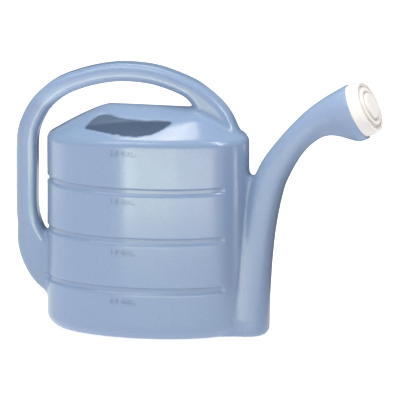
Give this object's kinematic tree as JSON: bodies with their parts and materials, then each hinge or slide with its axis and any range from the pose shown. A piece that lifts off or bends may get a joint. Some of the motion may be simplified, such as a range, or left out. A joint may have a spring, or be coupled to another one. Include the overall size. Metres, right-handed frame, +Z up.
{
  "type": "watering can",
  "caption": "Oval plastic garden watering can with an arched one-piece handle, a long leaning spout and a pull-off sprinkler rose.",
  "frame": {"origin": "centre of the tank's flat base, on the ground", "axes": "+X from the tank towards the spout, +Z up, +Y across the tank away from the side with the filling opening"},
  "size_m": [0.4752, 0.16, 0.3476],
  "materials": {
    "shell": "satin moulded polyethylene, pale grey-blue",
    "rose": "satin moulded plastic, white"
  },
  "bodies": {
    "can": {"tank_base": "shell", "tank_wall": "shell", "tank_deck": "shell", "handle_arch": "shell", "handle_grip": "shell", "handle_foot": "shell", "spout_channel": "shell", "spout_web": "shell", "spout_neck": "shell", "spout_mouth": "shell"},
    "rose": {"rose": "rose"}
  },
  "joints": [
    {"name": "rose_pull", "type": "slide", "parent": "can", "child": "rose", "axis": [0.9063, 0, 0.4226], "range_m": [0, 0.03]}
  ]
}
